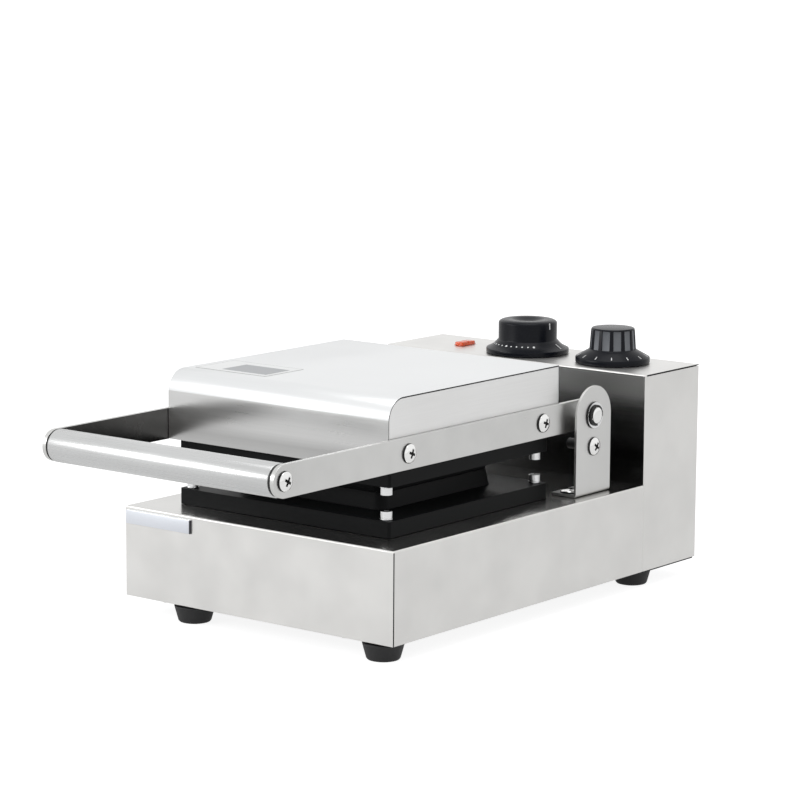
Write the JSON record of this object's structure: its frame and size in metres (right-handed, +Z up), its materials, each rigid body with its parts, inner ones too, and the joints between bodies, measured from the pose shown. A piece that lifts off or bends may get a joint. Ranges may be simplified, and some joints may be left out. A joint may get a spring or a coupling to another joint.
{
  "type": "waffle maker",
  "caption": "Countertop waffle maker with a folded stainless base, a hinged lid on two side arms with a handle bar, black mould castings and a control box behind.",
  "frame": {"origin": "middle of the footprint, on the surface that the feet stand on", "axes": "+X to the right seen from the front, +Y towards the back, +Z up"},
  "size_m": [0.25, 0.4976, 0.1931],
  "materials": {
    "brushed_stainless": "brushed stainless steel sheet",
    "polished_stainless": "polished stainless steel",
    "dark_steel": "plain dark galvanized steel",
    "nonstick_aluminium": "cast aluminium with a black non-stick coating",
    "rubber": "matt black rubber",
    "zinc_steel": "zinc-plated steel",
    "blackened_steel": "blackened spring steel",
    "element_sheath": "heat-stained steel tube",
    "bakelite": "brown moulded phenolic",
    "ceramic": "unglazed ceramic",
    "lamp_lens": "red translucent plastic",
    "gland_plastic": "matt black plastic",
    "black_plastic": "black phenolic, half gloss"
  },
  "bodies": {
    "body": {"base_shell": "brushed_stainless", "base_floor": "dark_steel", "foot_front_left": "rubber", "foot_front_right": "rubber", "foot_rear_left": "rubber", "foot_rear_right": "rubber", "control_box_shell": "brushed_stainless", "control_box_cover": "dark_steel", "lower_plate": "nonstick_aluminium", "lower_element": "element_sheath", "lower_heat_shield": "dark_steel", "lower_screw_front_left": "zinc_steel", "lower_screw_front_right": "zinc_steel", "lower_screw_rear_left": "zinc_steel", "lower_screw_rear_right": "zinc_steel", "hinge_bracket_left": "brushed_stainless", "hinge_bracket_right": "brushed_stainless", "bracket_screw_front_left": "polished_stainless", "bracket_screw_front_right": "polished_stainless", "bracket_screw_rear_left": "polished_stainless", "bracket_screw_rear_right": "polished_stainless", "pivot_pin_left": "polished_stainless", "pivot_pin_right": "polished_stainless", "pivot_washer_left": "zinc_steel", "pivot_washer_right": "zinc_steel", "pivot_clip_left": "blackened_steel", "pivot_clip_right": "blackened_steel", "stop_screw_left": "polished_stainless", "stop_screw_right": "polished_stainless", "pivot_bush_left": "zinc_steel", "pivot_bush_right": "zinc_steel", "timer_body": "bakelite", "thermostat_body": "bakelite", "thermostat_bulb": "zinc_steel", "pilot_lamp": "lamp_lens", "terminal_block": "ceramic", "mains_gland": "gland_plastic", "control_lead_gland": "gland_plastic"},
    "lid": {"lid_cover": "brushed_stainless", "lid_side_left": "brushed_stainless", "lid_side_right": "brushed_stainless", "upper_plate": "nonstick_aluminium", "upper_element": "element_sheath", "upper_heat_shield": "dark_steel", "upper_screw_front_left": "zinc_steel", "upper_screw_front_right": "zinc_steel", "upper_screw_rear_left": "zinc_steel", "upper_screw_rear_right": "zinc_steel", "arm_left": "polished_stainless", "arm_right": "polished_stainless", "arm_screw_front_left": "polished_stainless", "arm_screw_front_right": "polished_stainless", "arm_screw_rear_left": "polished_stainless", "arm_screw_rear_right": "polished_stainless", "handle_bar": "polished_stainless", "handle_screw_left": "polished_stainless", "handle_screw_right": "polished_stainless", "lid_lead_gland": "gland_plastic"},
    "timer_dial": {"timer_knob": "black_plastic"},
    "thermostat_dial": {"thermostat_knob": "black_plastic"}
  },
  "joints": [
    {"name": "lid_hinge", "type": "hinge", "parent": "body", "child": "lid", "pos_m": [0, 0.1092, 0.1412], "axis": [-1, 0, 0], "range_deg": [0, 95]},
    {"name": "timer_turn", "type": "hinge", "parent": "body", "child": "timer_dial", "pos_m": [-0.0121, 0.1998, 0.1662], "axis": [0, 0, -1], "range_deg": [0, 300]},
    {"name": "thermostat_turn", "type": "hinge", "parent": "body", "child": "thermostat_dial", "pos_m": [0.0692, 0.1998, 0.1662], "axis": [0, 0, -1], "range_deg": [0, 270]}
  ]
}
